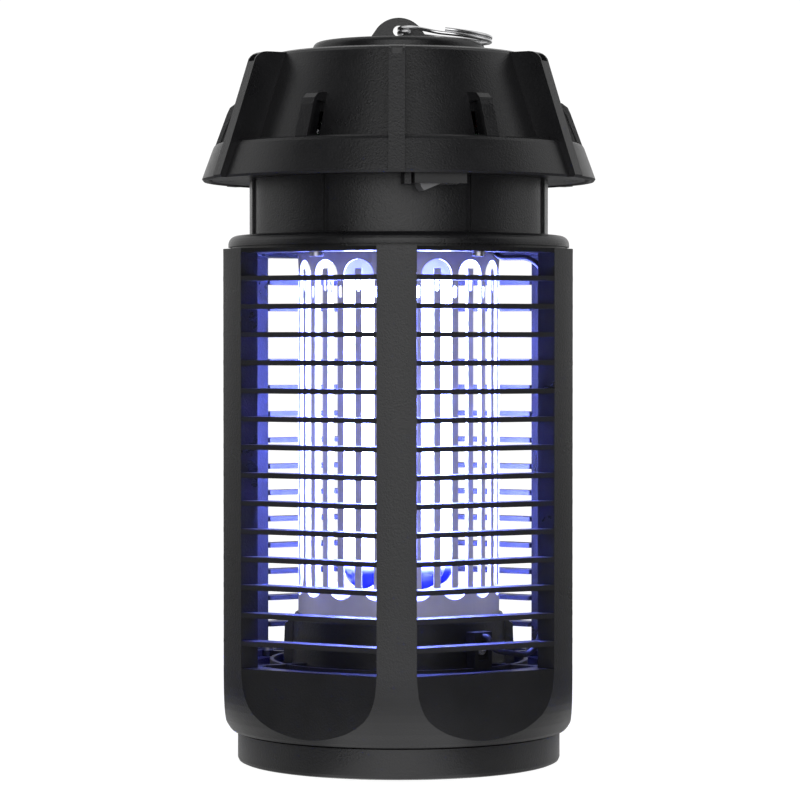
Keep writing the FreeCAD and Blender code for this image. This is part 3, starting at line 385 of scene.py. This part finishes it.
def dress_cad_nodes(materials):
    for name, node in NODES.items():
        node.data.materials.clear()
        node.data.materials.append(materials[SLOT_OF[name]])


# ---------------------------------------------------------------- shapes
def place(mesh_object, body, material):
    """Puts a visual piece on its moving body and gives it its material."""
    bpy.context.scene.collection.objects.link(mesh_object)
    mesh_object.data.materials.append(material)
    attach(mesh_object, body)


def swept_wire(name, points, radius, sides=14):
    """Round wire through the points, with flat cut ends, as a mesh."""
    curve = bpy.data.curves.new(name, "CURVE")
    curve.dimensions = "3D"
    curve.bevel_depth = radius
    curve.bevel_resolution = sides // 4
    curve.use_fill_caps = True
    line = curve.splines.new("POLY")
    line.points.add(len(points) - 1)
    for target, point in zip(line.points, points):
        target.co = (*point, 1.0)
    holder = bpy.data.objects.new(name, curve)
    mesh = bpy.data.meshes.new_from_object(holder)
    bpy.data.objects.remove(holder)
    for polygon in mesh.polygons:
        polygon.use_smooth = len(polygon.vertices) < 5
    return bpy.data.objects.new(name, mesh)


RING_COIL = 0.8 * MM       # height of each coil above or below the ring's middle plane
RING_WIRE = 0.8 * MM
RING_START = -90.0         # where the upper coil is cut off, degrees round from +X
RING_STEP = 50.0           # degrees over which the wire steps down to the lower coil
RING_TURN = 720.0 - RING_STEP
RING_SPANS = 220
RING_SLACK = 0.05 * MM     # keeps the wire just inside the room that the coils take up


def split_ring():
    """Split ring: the upper coil steps down beside its own cut end and goes round once more below."""
    low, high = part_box("hanging_ring")
    swing = next(joint for joint in frame["joints"] if joint["name"] == "ring_swing")
    pivot = Vector(swing["pos_m"])
    radius = (high.y - low.y) / 2 - RING_WIRE - RING_SLACK
    droop = math.atan2(pivot.z - (low.z + high.z) / 2, radius)
    points = []
    for k in range(RING_SPANS + 1):
        angle = RING_TURN * k / RING_SPANS
        down = min(1.0, max(0.0, (angle - (360.0 - RING_STEP)) / RING_STEP))
        down = down * down * (3 - 2 * down)
        a = math.radians(RING_START + angle)
        level = RING_COIL * (1 - 2 * down)
        spot = Vector((radius + radius * math.cos(a), radius * math.sin(a), level))
        points.append(pivot + Matrix.Rotation(droop, 3, "Y") @ spot)
    ring = swept_wire("split_ring", points, RING_WIRE)
    place(ring, "ring", MATERIALS["ring_chrome"])
    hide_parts("hanging_ring")


# Widths of the softened edges, in millimetres.
SLAT_EDGE = 0.5
SOFT_EDGES = {"cage_body": 0.7, "roof_shell": 0.6, "neck_housing": 0.4, "switch_body": 0.5,
              "switch_rocker": 0.4, "electrode_lower_holder": 0.3, "hanging_cap": 0.4, "cable_gland": 0.4}
SHARP_OVER = 35            # degrees between two faces from which their edge is softened


def soften_edges():
    """Moulded edges are never knife-sharp: a small bevel on each housing part."""
    widths = dict(SOFT_EDGES)
    for name in NODES:
        if name.startswith("louvre_slats"):
            widths[name] = SLAT_EDGE
    for name, width in widths.items():
        node = NODES[name]
        bevel = node.modifiers.new("soft_edges", "BEVEL")
        bevel.width = width * MM
        bevel.segments = 2
        bevel.limit_method = "ANGLE"
        bevel.angle_limit = math.radians(SHARP_OVER)
        bevel.use_clamp_overlap = True
        bevel.harden_normals = True


# ---------------------------------------------------------------- build
bpy.context.scene.view_settings.view_transform = "Standard"
make_camera()
make_world()
make_floor()
MATERIALS = make_materials()
dress_cad_nodes(MATERIALS)
soften_edges()
split_ring()
